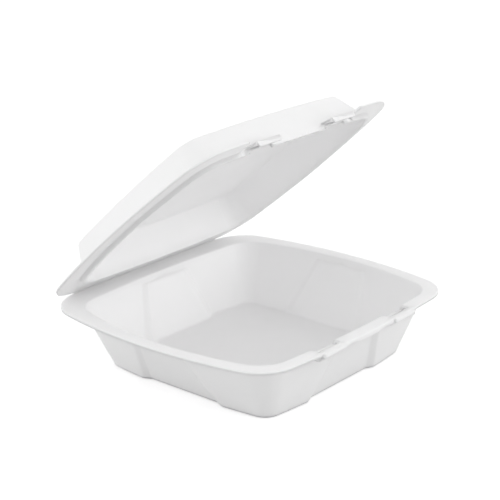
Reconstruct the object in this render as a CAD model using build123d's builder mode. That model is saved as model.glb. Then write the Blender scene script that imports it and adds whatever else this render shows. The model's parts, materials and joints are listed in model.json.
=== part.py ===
"""Hinged foam food container: a tray and a domed lid, pressed from foam sheet and joined by a fold.

Millimetres. X runs along the fold, -Y is the front edge with the latch, Z is up.
The origin is on the surface that the tray stands on, under the middle of its floor.
The lid is modelled standing open, as it is in the photograph.
"""

import os
from math import atan, atan2, cos, pi, radians, sin, tan

from build123d import *

# Foam sheet, and the room left between parts that move past each other
sheet = 2.2
fold_gap = 0.3
seat_gap = 0.4
latch_gap = 0.8

# Rim outline, the same for both halves: bowed sides, a straight fold edge, rounded corners
rim_half_width = 120.0
rim_front = 107.9
rim_height = 49.2
side_bow = 14.5
front_bow = 5.2
front_corner = 31.0
rear_corner = 33.0
corner_share = 0.6
turned_edge = 2.0
turned_edge_drop = 1.8
landing_length = 108.0
rim_edge_bevel = 0.5
rim_inside_bevel = 0.9

# Tray walls and floor, measured on the outside
flange_width = 8.0
rear_flange_width = 14.1
floor_half_width = 85.0
floor_half_depth = 83.5
floor_bow = 5.5
floor_corner = 13.0
floor_round = 2.6
floor_inside_round = 3.6

# Panel pressed into the middle of each tray wall, narrower and shallower towards its top
panel_drop = 7.2
panel_half_low = 33.0
panel_half_high = 19.0
panel_side_low = 9.0
panel_side_high = 5.5
panel_depth_low = 4.6
panel_depth_high = 1.8
panel_foot_round = 3.4
panel_shoulder_round = 6.8

# Lid dome and the ridge round its opening, which drops inside the tray's rim
open_angle = 40.4
lid_setback = 2.2
dome_height = 25.4
dome_side_inset = 29.4
dome_front_inset = 25.1
dome_rear_inset = 22.0
dome_bow = 5.0
dome_corner = 15.0
dome_round = 4.5
dome_inside_round = 3.0
ridge_depth = 3.0
ridge_draft = 0.9
ridge_width = 3.0

# Latch: two hooded bars on the lid's front edge, and the pockets behind the tray's tabs they drop into
latch_spacing = 83.0
bar_length = 24.0
bar_setback = 3.2
bar_top = 0.7
bar_foot = -3.4
bar_sheet = 1.6
hood_rise = 4.0
corner_gap = 9.0
foot_cut_top = -0.3
tab_reach = 1.6
tab_drop = 3.4
tab_bevel = 1.0
pocket_bevel = 1.6
pocket_reach = 12.0

fold_height = rim_height + fold_gap / 2
wall_top_width = rim_half_width - flange_width
wall_top_front = rim_front - flange_width
fold_reach = wall_top_front + rear_flange_width
flare = (wall_top_width - floor_half_width) / rim_height
wall_thickness = sheet * (1 + flare**2) ** 0.5
panel_top = rim_height - panel_drop
latch_half = latch_spacing / 2 + bar_length / 2 + corner_gap
pocket_length = bar_length + 2 * latch_gap

# Heights in the lid, measured square to it from the fold
lip_under = fold_gap / 2
lip_top = lip_under + sheet
ridge_foot = lip_under - ridge_depth
gutter_floor = ridge_foot + sheet
dome_top = lip_under + dome_height
dome_ceiling = dome_top - sheet

# How far in from the lid's edge the ridge and the foot of the dome's wall lie
ridge_inset = flange_width + wall_thickness + flare * (ridge_depth - fold_gap) + seat_gap
dome_flare = (dome_side_inset - ridge_inset) / dome_height
dome_wall = sheet * (1 + dome_flare**2) ** 0.5
dome_foot_inset = ridge_inset + ridge_width - dome_wall

lid_front = -(fold_reach + rim_front - lid_setback)
lid_seat_rear = -(fold_reach - rim_front)
bar_line = lid_front + bar_setback
hood_reach = dome_front_inset - bar_setback


def outline(plane, half_width, front, rear, bows, corners, rear_bow=0.0):
    """Face with bowed sides and rounded corners. front and rear are Y values, bows are (side, front)."""
    side, fore = bows
    near, far = half_width - side, front + fore
    back = rear - rear_bow
    with BuildSketch(plane) as face:
        with BuildLine():
            ThreePointArc((-near, far), (0, front), (near, far))
            ThreePointArc((near, far), (half_width, (front + rear) / 2), (near, back))
            if rear_bow:
                ThreePointArc((near, back), (0, rear), (-near, back))
            else:
                Line((near, back), (-near, back))
            ThreePointArc((-near, back), (-half_width, (front + rear) / 2), (-near, far))
        make_face()
        fillet(face.vertices().group_by(Axis.Y)[0], corners[0])
        fillet(face.vertices().group_by(Axis.Y)[-1], corners[1])
    return face.sketch


def rim(plane, front, rear, inset=0.0):
    """The rim outline on a plane, drawn in from its edge by inset."""
    return outline(
        plane,
        rim_half_width - inset,
        front + inset,
        rear - inset,
        (side_bow, front_bow),
        (front_corner - inset * corner_share, rear_corner - inset * corner_share),
    )


def blend(low, high, share):
    """Value part of the way from low to high."""
    return low + (high - low) * share


def round_steps(radius, lean, steps=2):
    """Height and inset of each step round an edge between a flat face and a wall that leans by an angle."""
    centre = radius / cos(lean) - radius * tan(lean)
    for step in range(steps + 1):
        turn = (pi / 2 - lean) * step / steps
        height = radius * (1 - cos(turn))
        yield height, centre - radius * sin(turn) + height * tan(lean)


def wall_section(z, panelled, inset=0.0):
    """Outline of the tray's wall at height z, with or without the pressed panels."""
    rise = z / rim_height
    half_width = blend(floor_half_width, wall_top_width, rise) - inset
    half_depth = blend(floor_half_depth, wall_top_front, rise) - inset
    corner = blend(floor_corner, front_corner - flange_width * corner_share, rise) - inset
    bows = (blend(floor_bow, side_bow, rise), blend(floor_bow, front_bow, rise))
    plain = outline(Plane.XY, half_width, -half_depth, half_depth, bows, (corner, corner), bows[1])
    depth = blend(panel_depth_low, panel_depth_high, rise)
    side = blend(panel_side_low, panel_side_high, rise)
    half = blend(panel_half_low, panel_half_high, rise) + inset * tan(atan2(depth, side) / 2)
    spill = 2 * depth
    mouth = half + side * (depth + spill) / depth
    with BuildSketch(Plane.XY.offset(z)) as section:
        add(plain)
        if panelled:
            for reach, turn in ((half_depth, 0), (half_width, 90), (half_depth, 180), (half_width, 270)):
                with BuildSketch(mode=Mode.PRIVATE) as recess:
                    with BuildLine():
                        Polyline(
                            (-half, -reach + depth),
                            (half, -reach + depth),
                            (mouth, -reach - spill),
                            (-mouth, -reach - spill),
                            close=True,
                        )
                    make_face()
                    fillet(recess.vertices().group_by(Axis.Y)[-1], panel_foot_round + inset)
                with Locations(Location((0, 0, 0), (0, 0, turn))):
                    add(recess.sketch, mode=Mode.SUBTRACT)
            shoulders = [
                v
                for v in section.vertices()
                if plain.wire().distance_to(v) < 0.01 and min(v.distance_to(w) for w in plain.vertices()) > 1
            ]
            fillet(shoulders, panel_shoulder_round - inset)
    return section.sketch


def panelled_wall(bottom, top, inset, corner_radius):
    """Sections of the tray's panelled wall from its rounded foot up."""
    foot = [wall_section(bottom + h, True, inset + i) for h, i in round_steps(corner_radius, atan(flare))]
    return foot + [wall_section(top, True, inset)]


# Room inside the tray, up to the bevelled edge of its opening
with BuildPart() as tray_room:
    ledge = panel_top + sheet
    loft(panelled_wall(sheet, ledge, wall_thickness, floor_inside_round), ruled=True)
    loft(
        [
            wall_section(ledge, False, wall_thickness),
            wall_section(rim_height - rim_inside_bevel, False, wall_thickness),
            wall_section(rim_height, False, wall_thickness - rim_inside_bevel),
        ],
        ruled=True,
    )

# The tray: walls with pressed panels, a flat flange, an edge turned down along its front,
# and two pockets that the lid's bars drop into, each behind a tab
with BuildPart() as base_tray:
    loft(panelled_wall(0, panel_top, 0, floor_round), ruled=True)
    loft([wall_section(panel_top, False), wall_section(rim_height, False)], ruled=True)
    with BuildSketch(Plane.XY.offset(rim_height - sheet)):
        add(rim(Plane.XY, -rim_front, fold_reach - fold_gap / 2))
    extrude(amount=sheet)
    chamfer(base_tray.faces().sort_by(Axis.Z)[-1].edges(), rim_edge_bevel)
    with BuildSketch(Plane.XY.offset(rim_height - sheet)):
        add(rim(Plane.XY, -rim_front, fold_reach - fold_gap / 2))
        add(rim(Plane.XY, -rim_front, fold_reach - fold_gap / 2, turned_edge), mode=Mode.SUBTRACT)
        with Locations((0, -rim_front)):
            Rectangle(landing_length, 4 * front_bow, mode=Mode.INTERSECT)
    extrude(amount=-turned_edge_drop)
    with BuildSketch(Plane.XY.offset(rim_height - rim_edge_bevel)) as tabs:
        with Locations((-latch_spacing / 2, -rim_front), (latch_spacing / 2, -rim_front)):
            Rectangle(bar_length, 2 * tab_reach)
        chamfer(tabs.vertices().group_by(Axis.Y)[0], tab_bevel)
    extrude(amount=rim_edge_bevel - tab_drop)
    pocket_floor = fold_height + bar_foot - seat_gap
    pocket_front = bar_line + fold_reach - latch_gap
    with BuildSketch(Plane.XY.offset(pocket_floor - sheet)) as bosses:
        with Locations((-latch_spacing / 2, pocket_front - sheet), (latch_spacing / 2, pocket_front - sheet)):
            Rectangle(pocket_length + 2 * sheet, 3 * sheet, align=(Align.CENTER, Align.MIN))
        chamfer(bosses.vertices().group_by(Axis.Y)[0], pocket_bevel)
    extrude(amount=rim_height - pocket_floor)
    add(tray_room.part, mode=Mode.SUBTRACT)
    with BuildSketch(Plane.XY.offset(pocket_floor)) as pockets:
        with Locations((-latch_spacing / 2, pocket_front), (latch_spacing / 2, pocket_front)):
            Rectangle(pocket_length, pocket_reach, align=(Align.CENTER, Align.MIN))
        chamfer(pockets.vertices().group_by(Axis.Y)[0], pocket_bevel / 2)
    extrude(amount=rim_height - pocket_floor, mode=Mode.SUBTRACT)
base_tray.part.label = "base_tray"

lid_turn = radians(open_angle)
lid_normal = (0, sin(lid_turn), cos(lid_turn))
lid_plane = Plane(origin=(0, fold_reach, fold_height), x_dir=(1, 0, 0), z_dir=lid_normal)
lid_up = Axis(lid_plane.origin, lid_plane.z_dir)


def seat(z, inset):
    """Outline in the lid that follows the tray's opening, drawn in from the lid's edge by inset."""
    corner = front_corner - inset * corner_share
    return outline(
        lid_plane.offset(z),
        rim_half_width - inset,
        lid_front + inset,
        lid_seat_rear - inset,
        (side_bow, front_bow),
        (corner, corner),
        front_bow,
    )


def dome_section(z, inset=0.0):
    """Outline of the dome's wall at height z above the fold."""
    rise = (z - ridge_foot) / (dome_top - ridge_foot)
    side = blend(dome_foot_inset, dome_side_inset, rise) + inset
    front = blend(dome_foot_inset, dome_front_inset, rise) + inset
    rear = blend(dome_foot_inset, dome_rear_inset, rise) + inset
    bows = (blend(side_bow, dome_bow, rise), blend(front_bow, dome_bow, rise))
    corner = blend(front_corner - dome_foot_inset * corner_share, dome_corner, rise) - inset * corner_share
    return outline(
        lid_plane.offset(z),
        rim_half_width - side,
        lid_front + front,
        lid_seat_rear - rear,
        bows,
        (corner, corner),
        bows[1],
    )


def dome_sections(top, inset, corner_radius):
    """Sections of the dome from the ridge's foot up over its rounded top edge."""
    crown = [dome_section(top - h, inset + i) for h, i in round_steps(corner_radius, atan(dome_flare))]
    return [dome_section(ridge_foot, inset)] + crown[::-1]


# Room inside the lid
with BuildPart() as lid_room:
    loft(dome_sections(dome_ceiling, dome_wall, dome_inside_round), ruled=True)

# The lid: a flat lip and the ridge pressed down inside it, both cut away for the latch, then the dome,
# with a hooded bar at each end of the gap and the wall's foot cut away behind it
with BuildPart() as lid:
    with BuildSketch(lid_plane.offset(lip_under)):
        add(rim(Plane.XY, lid_front, -fold_gap / 2))
    extrude(amount=sheet)
    chamfer(lid.faces().sort_by(lid_up)[-1].edges(), rim_edge_bevel)
    loft([seat(ridge_foot, ridge_inset), seat(lip_under, ridge_inset - ridge_draft)], ruled=True)
    gutter_inset = ridge_inset - ridge_draft + sheet
    loft([seat(gutter_floor, gutter_inset), seat(lip_top, gutter_inset)], ruled=True, mode=Mode.SUBTRACT)
    with BuildSketch(lid_plane.offset(ridge_foot)):
        with Locations((0, lid_front)):
            Rectangle(2 * latch_half, 2 * (dome_front_inset + front_bow))
    extrude(amount=lip_top - ridge_foot, mode=Mode.SUBTRACT)
    loft(dome_sections(dome_top, 0, dome_round), ruled=True)
    for x in (-latch_spacing / 2, latch_spacing / 2):
        bar_plane = Plane(lid_plane.origin + Vector(x, 0, 0), x_dir=lid_plane.y_dir, z_dir=(1, 0, 0))
        wall_line = bar_line + hood_reach
        with BuildSketch(bar_plane) as hood:
            with BuildLine():
                Polyline(
                    (wall_line, bar_top + hood_rise),
                    (bar_line, bar_top),
                    (bar_line, bar_foot),
                    (bar_line + bar_sheet, bar_foot),
                    (bar_line + bar_sheet, bar_top - bar_sheet),
                    (wall_line, bar_top + hood_rise - bar_sheet),
                    close=True,
                )
            make_face()
        extrude(amount=bar_length / 2, both=True)
    add(lid_room.part, mode=Mode.SUBTRACT)
    with BuildSketch(lid_plane.offset(ridge_foot)):
        with Locations((-latch_spacing / 2, bar_line + bar_sheet), (latch_spacing / 2, bar_line + bar_sheet)):
            Rectangle(bar_length, dome_front_inset, align=(Align.CENTER, Align.MIN))
    extrude(amount=foot_cut_top - ridge_foot, mode=Mode.SUBTRACT)
lid.part.label = "lid"

os.makedirs("parts", exist_ok=True)
export_step(base_tray.part, "parts/base_tray.step")
export_step(lid.part, "parts/lid.step")
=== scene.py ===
"""Looks of a hinged foam food container: a tray and a domed lid, pressed from foam sheet, joined by a fold.

Metres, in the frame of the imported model: X along the fold, -Y towards the latch, Z up.
"""

import json
from math import cos, pi, radians, sin

import bmesh
import bpy
from mathutils import Matrix, Vector


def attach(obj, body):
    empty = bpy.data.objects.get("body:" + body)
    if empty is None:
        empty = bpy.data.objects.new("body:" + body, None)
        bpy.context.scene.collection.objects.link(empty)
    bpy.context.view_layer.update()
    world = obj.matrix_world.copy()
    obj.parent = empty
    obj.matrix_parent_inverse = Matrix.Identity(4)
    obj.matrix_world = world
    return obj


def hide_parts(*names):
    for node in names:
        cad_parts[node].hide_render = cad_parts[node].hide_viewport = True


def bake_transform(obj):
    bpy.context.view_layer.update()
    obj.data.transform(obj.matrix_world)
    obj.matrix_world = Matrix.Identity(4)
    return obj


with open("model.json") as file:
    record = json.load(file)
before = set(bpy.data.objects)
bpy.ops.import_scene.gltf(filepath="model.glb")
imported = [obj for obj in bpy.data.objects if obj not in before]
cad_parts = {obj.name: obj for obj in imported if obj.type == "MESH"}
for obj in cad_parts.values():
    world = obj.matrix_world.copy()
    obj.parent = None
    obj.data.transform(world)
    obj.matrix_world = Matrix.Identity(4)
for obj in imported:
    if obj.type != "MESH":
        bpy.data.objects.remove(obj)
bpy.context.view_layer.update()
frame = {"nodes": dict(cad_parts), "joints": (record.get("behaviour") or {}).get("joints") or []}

# The tray: the lower half of the sheet, drawn down over a mould, with a panel pressed into each wall
# and a flat flange round the top. White foam with its cells pressed flat under a smooth skin, on a sheet
# that is never quite even.
foam_shade = (0.935, 0.93, 0.935, 1)
foam_white = (0.96, 0.955, 0.96, 1)
# Painted shade: the grey laid into creases, slots and notches
painted_crease_shade = (0.4, 0.4, 0.415, 1)
light_depth = 0.0025
weld_distance = 0.000005
smooth_below = radians(42)

skin = bpy.data.node_groups.new("foam skin", "ShaderNodeTree")
for socket_name, direction, kind, start in (
    ("Cell size", "INPUT", "NodeSocketFloat", 0.0009),
    ("Cell depth", "INPUT", "NodeSocketFloat", 0.00003),
    ("Wave size", "INPUT", "NodeSocketFloat", 0.03),
    ("Wave depth", "INPUT", "NodeSocketFloat", 0.0003),
    # how far the painted crease shade looks for nearby surfaces
    ("Painted crease reach", "INPUT", "NodeSocketFloat", 0.005),
    ("Color", "OUTPUT", "NodeSocketColor", None),
    ("Roughness", "OUTPUT", "NodeSocketFloat", None),
    ("Normal", "OUTPUT", "NodeSocketVector", None),
):
    socket = skin.interface.new_socket(socket_name, in_out=direction, socket_type=kind)
    if start is not None:
        socket.default_value = start

inputs = skin.nodes.new("NodeGroupInput")
outputs = skin.nodes.new("NodeGroupOutput")
place = skin.nodes.new("ShaderNodeTexCoord")

cell_scale = skin.nodes.new("ShaderNodeMath")
cell_scale.operation = "DIVIDE"
cell_scale.inputs[0].default_value = 1.0
skin.links.new(inputs.outputs["Cell size"], cell_scale.inputs[1])
cells = skin.nodes.new("ShaderNodeTexVoronoi")
cells.feature = "SMOOTH_F1"
skin.links.new(place.outputs["Object"], cells.inputs["Vector"])
skin.links.new(cell_scale.outputs[0], cells.inputs["Scale"])

wave_scale = skin.nodes.new("ShaderNodeMath")
wave_scale.operation = "DIVIDE"
wave_scale.inputs[0].default_value = 1.0
skin.links.new(inputs.outputs["Wave size"], wave_scale.inputs[1])
waves = skin.nodes.new("ShaderNodeTexNoise")
waves.inputs["Detail"].default_value = 1.0
skin.links.new(place.outputs["Object"], waves.inputs["Vector"])
skin.links.new(wave_scale.outputs[0], waves.inputs["Scale"])

cell_bump = skin.nodes.new("ShaderNodeBump")
skin.links.new(inputs.outputs["Cell depth"], cell_bump.inputs["Distance"])
skin.links.new(cells.outputs["Distance"], cell_bump.inputs["Height"])
wave_bump = skin.nodes.new("ShaderNodeBump")
skin.links.new(inputs.outputs["Wave depth"], wave_bump.inputs["Distance"])
skin.links.new(waves.outputs["Fac"], wave_bump.inputs["Height"])
skin.links.new(cell_bump.outputs["Normal"], wave_bump.inputs["Normal"])
skin.links.new(wave_bump.outputs["Normal"], outputs.inputs["Normal"])

gloss = skin.nodes.new("ShaderNodeMapRange")
gloss.inputs["From Max"].default_value = 0.8
gloss.inputs["To Min"].default_value = 0.42
gloss.inputs["To Max"].default_value = 0.56
skin.links.new(cells.outputs["Distance"], gloss.inputs["Value"])
skin.links.new(gloss.outputs["Result"], outputs.inputs["Roughness"])

tint = skin.nodes.new("ShaderNodeMapRange")
tint.inputs["From Min"].default_value = 0.3
tint.inputs["From Max"].default_value = 0.7
skin.links.new(waves.outputs["Fac"], tint.inputs["Value"])
foam_shades = skin.nodes.new("ShaderNodeMix")
foam_shades.data_type = "RGBA"
foam_shades.inputs["A"].default_value = foam_shade
foam_shades.inputs["B"].default_value = foam_white
skin.links.new(tint.outputs["Result"], foam_shades.inputs["Factor"])

# Painted shade: the foam is greyed where ambient occlusion finds creases and cut slots close by, but not
# towards the fold, where the sheet is pressed thin
crease_occlusion = skin.nodes.new("ShaderNodeAmbientOcclusion")
crease_occlusion.samples = 8
skin.links.new(inputs.outputs["Painted crease reach"], crease_occlusion.inputs["Distance"])
openness = skin.nodes.new("ShaderNodeMapRange")
openness.inputs["From Max"].default_value = 0.65
skin.links.new(crease_occlusion.outputs["AO"], openness.inputs["Value"])
axes = skin.nodes.new("ShaderNodeSeparateXYZ")
skin.links.new(place.outputs["Object"], axes.inputs["Vector"])
near_fold = skin.nodes.new("ShaderNodeMapRange")
near_fold.inputs["From Min"].default_value = 0.04
near_fold.inputs["From Max"].default_value = 0.09
skin.links.new(axes.outputs["Y"], near_fold.inputs["Value"])
clear = skin.nodes.new("ShaderNodeMath")
clear.operation = "MAXIMUM"
skin.links.new(openness.outputs["Result"], clear.inputs[0])
skin.links.new(near_fold.outputs["Result"], clear.inputs[1])
foam_with_painted_shade = skin.nodes.new("ShaderNodeMix")
foam_with_painted_shade.data_type = "RGBA"
foam_with_painted_shade.inputs["A"].default_value = painted_crease_shade
skin.links.new(clear.outputs[0], foam_with_painted_shade.inputs["Factor"])
skin.links.new(foam_shades.outputs["Result"], foam_with_painted_shade.inputs["B"])
skin.links.new(foam_with_painted_shade.outputs["Result"], outputs.inputs["Color"])


def foam_material(name, wave_depth):
    """White foam that lets some light through. wave_depth is how far its surface wanders from true."""
    material = bpy.data.materials.new(name)
    material.use_nodes = True
    nodes = material.node_tree.nodes
    shader = nodes["Principled BSDF"]
    shader.inputs["Specular IOR Level"].default_value = 0.35
    shader.inputs["Subsurface Weight"].default_value = 1.0
    shader.inputs["Subsurface Radius"].default_value = (light_depth, light_depth, light_depth)
    shader.inputs["Subsurface Scale"].default_value = 1.0
    surface = nodes.new("ShaderNodeGroup")
    surface.node_tree = skin
    surface.inputs["Wave depth"].default_value = wave_depth
    material.node_tree.links.new(surface.outputs["Color"], shader.inputs["Base Color"])
    material.node_tree.links.new(surface.outputs["Roughness"], shader.inputs["Roughness"])
    material.node_tree.links.new(surface.outputs["Normal"], shader.inputs["Normal"])
    return material


def pressed_shell(node, name, material):
    """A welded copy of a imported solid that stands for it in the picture, shaded as one smooth pressing."""
    mesh = frame["nodes"][node].data.copy()
    mesh.materials.clear()
    mesh.materials.append(material)
    shape = bmesh.new()
    shape.from_mesh(mesh)
    bmesh.ops.remove_doubles(shape, verts=shape.verts, dist=weld_distance)
    shape.to_mesh(mesh)
    shape.free()
    mesh.set_sharp_from_angle(angle=smooth_below)
    piece = bpy.data.objects.new(name, mesh)
    bpy.context.scene.collection.objects.link(piece)
    evened = piece.modifiers.new("even shading", "WEIGHTED_NORMAL")
    evened.weight = 80
    evened.keep_sharp = True
    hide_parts(node)
    return piece


tray = pressed_shell("base_tray", "tray_shell", foam_material("tray foam", 0.0003))
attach(tray, "tray")

# The lid: the upper half of the same sheet, a shallow dome inside a pressed ridge and a flat lip,
# with the two latch bars cut and drawn out of its front edge.
lid = pressed_shell("lid", "lid_shell", foam_material("lid foam", 0.0003))
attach(lid, "lid")

# The fold: the strip of sheet between the halves, crushed thin when the container was pressed,
# so that it bends like a hinge. It is spun round the fold line from the tray's edge to the lid's.
hinge = frame["joints"][0]
fold_axis = Vector(hinge["pos_m"])
fold_half_length = 0.081
fold_inner = 0.00012
fold_outer = 0.00105
fold_turn = radians(180 + hinge["range_deg"][0])
fold_smooth_below = radians(38)
fold_mesh = bpy.data.meshes.new("fold_strip")
fold_shape = bmesh.new()
corners = [
    fold_shape.verts.new(fold_axis + Vector((x, 0, -reach)))
    for x, reach in (
        (-fold_half_length, fold_inner),
        (fold_half_length, fold_inner),
        (fold_half_length, fold_outer),
        (-fold_half_length, fold_outer),
    )
]
tray_end = fold_shape.faces.new(corners)
bmesh.ops.spin(
    fold_shape,
    geom=[tray_end, *tray_end.edges, *tray_end.verts],
    cent=fold_axis,
    axis=(1, 0, 0),
    angle=fold_turn,
    steps=10,
)
bmesh.ops.recalc_face_normals(fold_shape, faces=fold_shape.faces)
fold_shape.to_mesh(fold_mesh)
fold_shape.free()
fold_mesh.set_sharp_from_angle(angle=fold_smooth_below)
fold_mesh.materials.append(foam_material("fold foam", 0.0001))
fold = bpy.data.objects.new("fold_strip", fold_mesh)
bpy.context.scene.collection.objects.link(fold)
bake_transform(fold)

# The floor: a pale sweep that takes the container's shadow and is near white to the camera
# and in reflections.
floor_size = 6.0
floor_shade = (0.68, 0.68, 0.68, 1)
floor_level = 0.52


def background_rays(tree):
    """Mask of the rays that show the background: straight from the camera, or off or through a piece."""
    paths = tree.nodes.new("ShaderNodeLightPath")
    mask = paths.outputs["Is Camera Ray"]
    for kind in ("Is Glossy Ray", "Is Transmission Ray"):
        either = tree.nodes.new("ShaderNodeMath")
        either.operation = "MAXIMUM"
        tree.links.new(mask, either.inputs[0])
        tree.links.new(paths.outputs[kind], either.inputs[1])
        mask = either.outputs[0]
    return mask


floor_shape = bmesh.new()
bmesh.ops.create_grid(floor_shape, x_segments=1, y_segments=1, size=floor_size / 2)
floor_mesh = bpy.data.meshes.new("floor")
floor_shape.to_mesh(floor_mesh)
floor_shape.free()
floor_material = bpy.data.materials.new("pale sweep")
floor_material.use_nodes = True
floor_nodes = floor_material.node_tree.nodes
floor_links = floor_material.node_tree.links
floor_shader = floor_nodes["Principled BSDF"]
floor_shader.inputs["Base Color"].default_value = floor_shade
floor_shader.inputs["Roughness"].default_value = 0.9
floor_shader.inputs["Emission Color"].default_value = (1, 1, 1, 1)
floor_glow = floor_nodes.new("ShaderNodeMath")
floor_glow.operation = "MULTIPLY"
floor_glow.inputs[1].default_value = floor_level
floor_links.new(background_rays(floor_material.node_tree), floor_glow.inputs[0])
floor_links.new(floor_glow.outputs[0], floor_shader.inputs["Emission Strength"])
floor_mesh.materials.append(floor_material)
floor = bpy.data.objects.new("floor", floor_mesh)
bpy.context.scene.collection.objects.link(floor)

# The light: a white room that is pure white to the camera and in reflections,
# and two broad soft lamps, one before the latch on the right and one behind the fold on the left.
room_level = 0.79
lamp_target = Vector((0, 0, 0.06))
lamp_distance = 1.6

world = bpy.data.worlds.new("studio")
world.use_nodes = True
bpy.context.scene.world = world
world_nodes = world.node_tree.nodes
world_links = world.node_tree.links
room = world_nodes["Background"]
room.inputs["Color"].default_value = (1, 1, 1, 1)
room.inputs["Strength"].default_value = room_level
seen = world_nodes.new("ShaderNodeBackground")
seen.inputs["Color"].default_value = (1, 1, 1, 1)
seen.inputs["Strength"].default_value = 1.0
choice = world_nodes.new("ShaderNodeMixShader")
world_links.new(background_rays(world.node_tree), choice.inputs["Fac"])
world_links.new(room.outputs["Background"], choice.inputs[1])
world_links.new(seen.outputs["Background"], choice.inputs[2])
world_links.new(choice.outputs["Shader"], world_nodes["World Output"].inputs["Surface"])

for lamp_name, direction, size, power in (
    ("right", (0.6, -0.9, 0.45), 1.3, 6.0),
    ("left", (-0.85, 0.6, 0.4), 1.2, 4.2),
):
    lamp = bpy.data.lights.new(lamp_name, "AREA")
    lamp.shape = "DISK"
    lamp.size = size
    lamp.energy = power
    holder = bpy.data.objects.new(lamp_name, lamp)
    bpy.context.scene.collection.objects.link(holder)
    towards = Vector(direction).normalized()
    holder.location = lamp_target + towards * lamp_distance
    holder.rotation_euler = towards.to_track_quat("Z", "Y").to_euler()

# The camera: where the photograph was taken from, a little above the rim, turned towards
# the container's front left corner, as fitted to the photograph's outlines.
camera_turn = radians(-48.9)
camera_rise = radians(19.31)
camera_roll = radians(-1.05)
camera_target = Vector((0, 0, 0.040))
camera_offset = Vector((-0.00425, 0.04393, 1.0993))
frame_pixels = 500
focal_pixels = 1450.66
camera_data = bpy.data.cameras.new("camera")
camera_data.lens = camera_data.sensor_width * focal_pixels / frame_pixels
camera = bpy.data.objects.new("camera", camera_data)
bpy.context.scene.collection.objects.link(camera)
aim = (
    Matrix.Rotation(camera_turn, 4, "Z")
    @ Matrix.Rotation(pi / 2 - camera_rise, 4, "X")
    @ Matrix.Rotation(camera_roll, 4, "Z")
)
camera.matrix_world = Matrix.Translation(camera_target + aim.to_3x3() @ camera_offset) @ aim
bpy.context.scene.camera = camera

bpy.context.scene.view_settings.view_transform = "Standard"
